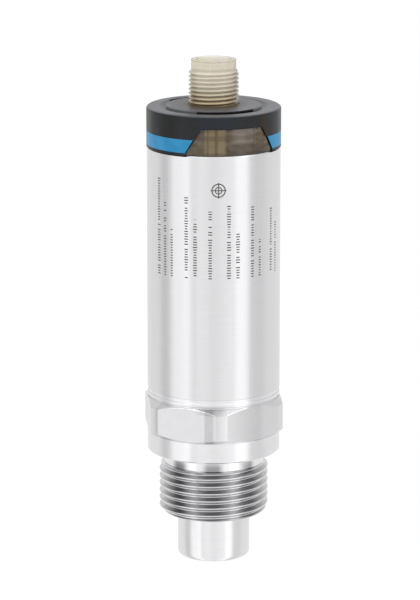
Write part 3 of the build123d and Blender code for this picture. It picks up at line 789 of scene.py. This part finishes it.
# Painted shade: the plug darker and more amber towards its sides, and greyer towards its outline.
plug_side_shade = amber.angle.math("ABSOLUTE").rise(38.0, 62.0) * on_plug_thread
plug_tone = amber.mix(plug_side_shade * 0.28, plug_tone, tone(112, 80, 30))
far_side_shade = amber.angle.math("ABSOLUTE").rise(64.0, 86.0)
plug_tone = amber.mix(far_side_shade * 0.6, plug_tone, tone(140, 128, 106))
plug_tone = amber.mix(swirl * 0.2, plug_tone, tone(188, 180, 158))
sleeve_line = amber.z.within(sleeve_foot - 0.15, sleeve_foot + 0.5, 0.25)
plug_tone = amber.mix(sleeve_line * 0.3, plug_tone, tone(170, 158, 124))
# Painted shade at the plug's foot, where it meets the cap's disc.
at_foot = amber.z.rise(foot_level + 0.5, foot_level + 0.2)
plug_tone = amber.mix(at_foot * 0.85, plug_tone, tone(104, 92, 68))
rim = amber.z.rise(body_high - 0.32, body_high - 0.12)
plug_tone = amber.mix(rim * 0.75, plug_tone, tone(196, 190, 170))
# Painted shade and light in the socket's bore: darker towards its floor, lighter on both sides, and
# a faint painted glow through the emission, though the plug is no lamp.
in_bore = amber.radius.rise(4.85, 4.7)
bore_light_and_shade = amber.mix(
    amber.z.rise(socket_floor, body_high - 1), tone(150, 132, 100), tone(252, 248, 238)
)
lit_bore_side = amber.angle.math("ABSOLUTE").within(80.0, 132.0, 12.0)
bore_light_and_shade = amber.mix(lit_bore_side, bore_light_and_shade, tone(224, 219, 208))
plug_tone = amber.mix(in_bore, plug_tone, bore_light_and_shade)
painted_bore_glow = amber.mix(in_bore, tone(0, 0, 0), bore_light_and_shade)
turned_in, lifted = amber.angle - window_turn, amber.z - tube_high
# Painted view through the window pads: the shapes of the parts inside, painted as they show through
# the amber, with painted shade along the window's foot and a painted shadow low on its right.
window_shapes = {
    "rib": (turned_in.near(-16.2, 10.5, 7.0), 0.7, (148, 130, 92)),
    "slit in the rib": (turned_in.near(-15.2, 2.2, 0.6), 0.6, (84, 68, 40)),
    "board": (turned_in.near(10.0, 13.0, 9.0) * lifted.rise(2.2, 3.6), 0.7, (138, 128, 118)),
    "lens": (turned_in.near(7.0, 6.0, 2.0) * lifted.within(3.4, 5.2, 0.5), 0.6, (158, 148, 138)),
    "left edge": (turned_in.near(-22.5, 1.2, 0.48), 0.5, (70, 54, 32)),
    "middle edge": (turned_in.near(-5.0, 0.8, 0.32), 0.5, (70, 54, 32)),
    "right edge": (turned_in.near(19.5, 0.8, 0.32), 0.5, (70, 54, 32)),
    "shelf": (lifted.within(3.7, 4.9, 0.35), 0.5, (84, 70, 46)),
    "foot": (lifted.rise(1.3, 0.1), 0.6, (58, 54, 44)),
    "shadow": (turned_in.near(12.0, 16.0, 11.0) * lifted.within(0.4, 2.6, 0.5), 0.45, (66, 60, 50)),
}
clouding = amber.grain(1.8, (1.4, 1.4, 0.6), 3.0).rise(0.3, 0.7)
window_tone = amber.mix(clouding, tone(76, 64, 45), tone(118, 104, 80))
for shape, strength, colour in window_shapes.values():
    window_tone = amber.mix(shape * strength, window_tone, tone(*colour))
on_window = amber.z.rise(drum_head, drum_head - 0.5)
amber.coat(
    Base_Color=amber.mix(on_window, plug_tone, window_tone),
    Roughness=0.22 + at_foot * (1 - on_window) * 0.4,
    Emission_Color=painted_bore_glow,
    Relief=swirl * 0.01,
)
connector_body.data.materials.append(amber.material)
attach(connector_body, "root")
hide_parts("connector_body")

# Cap. Dark moulding with a fine eroded texture, pushed over the drum. Its top is painted
# greyer than its wall as painted light from above, and the arc slots round the disc are
# painted black as painted shade. The wall carries bands of painted shade and painted
# reflection, and the disc a painted reflection of the plug.

smoke_plastic = Finish("smoke_plastic", Specular_IOR_Level=0.3)
eroded = smoke_plastic.grain(0.16, detail=3.0)
smear = smoke_plastic.grain(4.0, (1, 1, 0.5), 3.0)
ring_head = tube_high + 9.6
on_top = smoke_plastic.z.rise(ring_head - 0.35, ring_head - 0.05)
on_top = on_top.math("MAXIMUM", smoke_plastic.radius.rise(13.0, 12.8))
# Painted shade: the arc slots round the disc painted black, with the disc's edge and the ring's
# inner edge where they face the slots.
slot_turn = (smoke_plastic.angle - window_turn).math("ABSOLUTE")
slot_turn = slot_turn.math("MINIMUM", (slot_turn - 180.0).math("ABSOLUTE"))
slot_half, slot_shade_inside = 38.0, 11.2
painted_slot_shade = smoke_plastic.radius.within(slot_shade_inside, slot_outside, 0.04)
painted_slot_shade = painted_slot_shade * slot_turn.rise(slot_half + 0.4, slot_half - 0.4)
painted_slot_shade = painted_slot_shade * smoke_plastic.z.rise(ring_head + 0.28, ring_head + 0.24)
wall_tone = smoke_plastic.mix(smear.rise(0.3, 0.7), tone(24, 27, 30), tone(31, 34, 37))
# Painted shade and painted reflection: bands by angle round the wall, lighter grey towards its
# sides.
for shade_angle, shade_width, shade in (
    (-42.0, 14.0, (12, 12, 11)), (4.0, 20.0, (28, 36, 43)), (47.0, 8.0, (40, 32, 22)),
    (-80.0, 18.0, (72, 72, 72)), (80.0, 14.0, (66, 74, 82)),
):
    share = smoke_plastic.angle.near(shade_angle, shade_width, shade_width * 0.3)
    wall_tone = smoke_plastic.mix(share * 0.8, wall_tone, tone(*shade))
# Painted light: the top faces lighter than the wall, as light falls on them from above, and lighter
# again towards the left and right.
painted_top_light = smoke_plastic.mix(smear.rise(0.3, 0.7), tone(92, 94, 98), tone(104, 104, 106))
side_light = smoke_plastic.x.rise(2.0, 6.0) + smoke_plastic.x.rise(-8.0, -12.0)
painted_top_light = smoke_plastic.mix(side_light * 0.7, painted_top_light, tone(118, 119, 124))
# Painted reflection of the amber plug on the disc round it.
mirrored = smoke_plastic.radius.rise(8.6, 6.2)
painted_top_light = smoke_plastic.mix(mirrored * 0.5, painted_top_light, tone(104, 86, 58))
cap_tone = smoke_plastic.mix(on_top, wall_tone, painted_top_light)
smoke_plastic.coat(
    Base_Color=smoke_plastic.mix(painted_slot_shade, cap_tone, tone(3, 3, 4)),
    Roughness=0.34 + eroded * 0.1 + smear * 0.08,
    Relief=eroded * 0.006,
)
dress(smoke_plastic, "cap")

# Stripe. Two bands of blue plastic, moulded on their own and let into the cap's wall
# between the windows.

blue_plastic = Finish("blue_plastic")
print_grain = blue_plastic.grain(0.3, detail=3.0)
wear = blue_plastic.grain(3.0, detail=2.0)
blue_plastic.coat(
    Base_Color=blue_plastic.mix(wear.rise(0.3, 0.7), tone(14, 139, 192), tone(38, 150, 203)),
    Roughness=0.34 + print_grain * 0.12,
    Relief=print_grain * 0.003,
)
dress(blue_plastic, "stripe")

# Studio. A white floor and surround with soft lamps overhead. Only what is polished sees
# the pale reflector cards that stand all round it, and the ring lamp of the ceiling.

floor_half = 3
floor_corners = ((-1, -1), (1, -1), (1, 1), (-1, 1))
floor = shell(
    "floor", [(x * floor_half, y * floor_half, 0) for x, y in floor_corners], [(0, 1, 2, 3)]
)
floor_material = bpy.data.materials.new("white_floor")
white_floor = Shading(floor_material)
ray = white_floor.node("ShaderNodeLightPath")
seen = ray.output("Is Camera Ray") + ray.output("Is Glossy Ray")
seen = (seen + ray.output("Is Transmission Ray")).math("MINIMUM", 1.0)
matt = white_floor.node("ShaderNodeBsdfDiffuse", None, {"Color": (0.8, 0.8, 0.8, 1)})
matt_seen = white_floor.node("ShaderNodeBsdfDiffuse", None, {"Color": (0.14, 0.14, 0.14, 1)})
floor_glow_and_plug_shade = white_floor.node("ShaderNodeEmission", None, {"Strength": 0.9})
bright_floor = white_floor.node("ShaderNodeAddShader", None, {0: matt_seen, 1: floor_glow_and_plug_shade})
either = white_floor.node("ShaderNodeMixShader", None, {0: seen, 1: matt, 2: bright_floor})
white_floor.plug(white_floor.nodes["Material Output"].inputs["Surface"], either)
floor.data.materials.append(floor_material)
floor.visible_glossy = False

world = bpy.data.worlds.new("white_surround")
bpy.context.scene.world = world
surround = Shading(world)
axes = surround.node(
    "ShaderNodeSeparateXYZ", None, {0: surround.node("ShaderNodeTexCoord").output("Generated")}
)
lift = axes.output("Z")
bearing = axes.output("X").math("ARCTAN2", axes.output("Y") * -1.0) * degrees(1)
cards = [
    (-104, -0.20, 7), (-80, 0.45, 9), (-53, 0.12, 5), (-41, -0.33, 4), (-31, 0.11, 2),
    (-8, -0.10, 6), (7, 0.07, 4), (20, 0.05, 4), (38, 0.23, 3), (63, -0.50, 6), (100, 0.10, 8),
]
card_light = 0.9
for edge, change, soft in cards:
    card_light = bearing.rise(edge - soft, edge + soft) * change + card_light
ceiling_rings = [(0.3, -0.15, 0.06), (0.8, 0.6, 0.02), (0.925, -0.45, 0.01)]
for edge, change, soft in ceiling_rings:
    card_light = lift.rise(edge - soft, edge + soft) * change + card_light
ray = surround.node("ShaderNodeLightPath")
unlit = (ray.output("Is Camera Ray") + ray.output("Is Transmission Ray")).math("MINIMUM", 1.0)
in_steel = ray.output("Is Glossy Ray")
surround.plug(surround.nodes["Background"].inputs["Color"], (1, 1, 1, 1))
surround.plug(
    surround.nodes["Background"].inputs["Strength"],
    0.74 + 0.26 * unlit + (card_light - 0.74) * in_steel,
)

for lamp_name, lamp_place, lamp_size, lamp_power in (
    ("lamp_left", (-0.55, -0.55, 0.95), 0.6, 2.2),
    ("lamp_right", (0.65, -0.35, 0.9), 0.6, 1.6),
):
    lamp = bpy.data.lights.new(lamp_name, "AREA")
    lamp.size, lamp.energy = lamp_size, lamp_power
    holder = bpy.data.objects.new(lamp_name, lamp)
    holder.location = lamp_place
    aim = Vector((0, 0, 0.06)) - Vector(lamp_place)
    holder.rotation_euler = aim.to_track_quat("-Z", "Y").to_euler()
    bpy.context.scene.collection.objects.link(holder)

# Camera. A long lens a little above the part, turned down to it by the tilt that the
# photograph has.

lens_data = bpy.data.cameras.new("camera")
lens_data.lens, lens_data.sensor_width = 201.5, 36
camera = bpy.data.objects.new("camera", lens_data)
camera.location = (-0.00088, -0.79, 0.2463)
camera_tilt = 13.03
camera.rotation_euler = (radians(90 - camera_tilt), 0, 0)
bpy.context.scene.collection.objects.link(camera)
bpy.context.scene.camera = camera
bpy.context.scene.view_settings.view_transform = "Standard"
